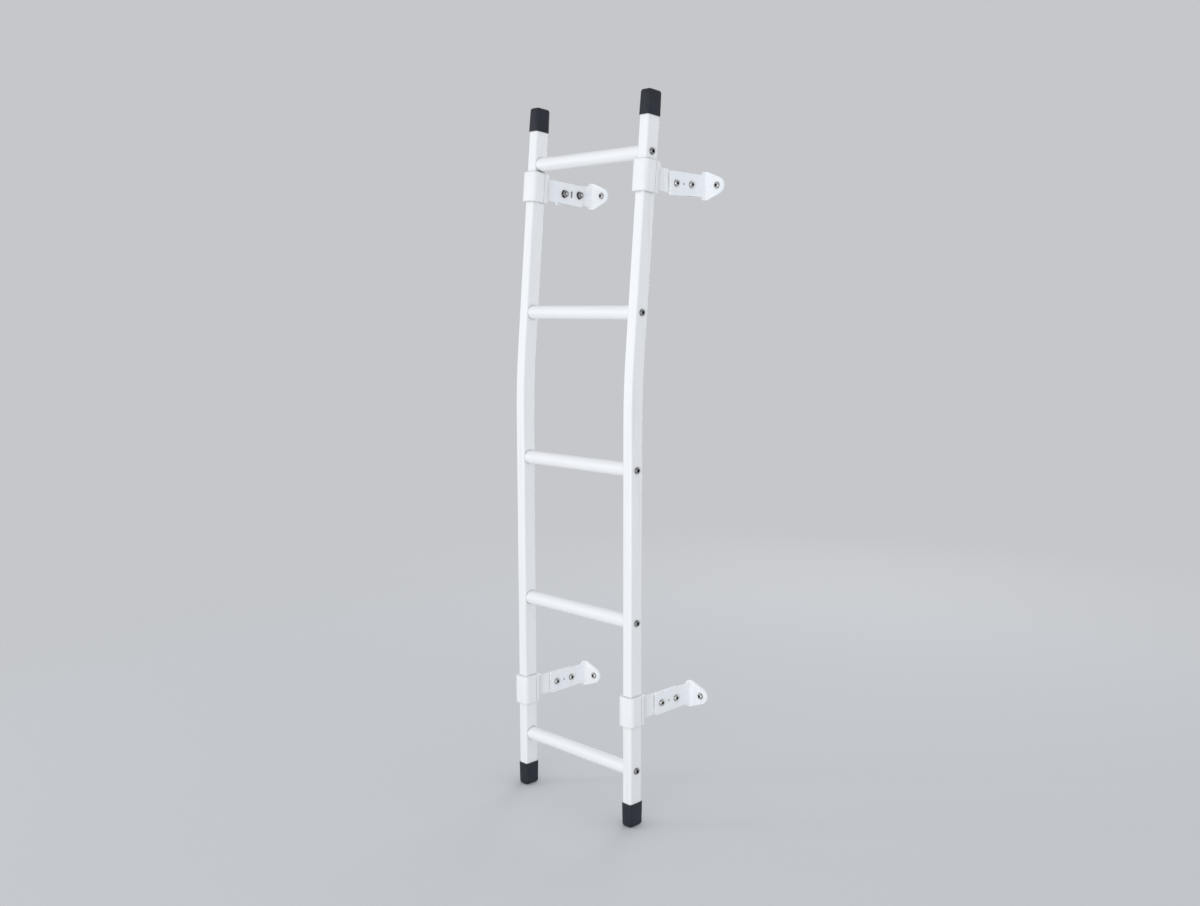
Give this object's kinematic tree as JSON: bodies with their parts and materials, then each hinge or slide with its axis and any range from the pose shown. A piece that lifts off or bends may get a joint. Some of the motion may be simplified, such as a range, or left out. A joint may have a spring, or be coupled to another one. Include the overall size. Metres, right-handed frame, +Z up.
{
  "type": "van rear door ladder",
  "caption": "Tubular ladder with round rungs and gently bent rails, held off a van's rear door by clamp collars, flat straps and flanged feet that bolt to the door.",
  "frame": {"origin": "middle of the flat back face of the lower right foot, between its bend and its bolt hole, where the foot meets the door", "axes": "+Z up, +Y forward out of the foot faces into the door, +X to the right as seen from behind the van"},
  "size_m": [0.4222, 0.2442, 1.5692],
  "materials": {
    "ladder_tube": "white powder coat, satin",
    "end_cap": "black soft plastic, semi-matt",
    "collar": "white powder coat, satin",
    "strap": "white powder coat, satin",
    "foot": "white powder coat, satin"
  },
  "bodies": {
    "root": {"left_rail": "ladder_tube", "right_rail": "ladder_tube", "rung_1": "ladder_tube", "rung_2": "ladder_tube", "rung_3": "ladder_tube", "rung_4": "ladder_tube", "rung_5": "ladder_tube", "left_bottom_cap": "end_cap", "left_top_cap": "end_cap", "right_bottom_cap": "end_cap", "right_top_cap": "end_cap", "lower_left_collar": "collar", "lower_left_strap": "strap", "lower_left_foot": "foot", "lower_right_collar": "collar", "lower_right_strap": "strap", "lower_right_foot": "foot", "upper_left_collar": "collar", "upper_left_strap": "strap", "upper_left_foot": "foot", "upper_right_collar": "collar", "upper_right_strap": "strap", "upper_right_foot": "foot"}
  },
  "joints": []
}
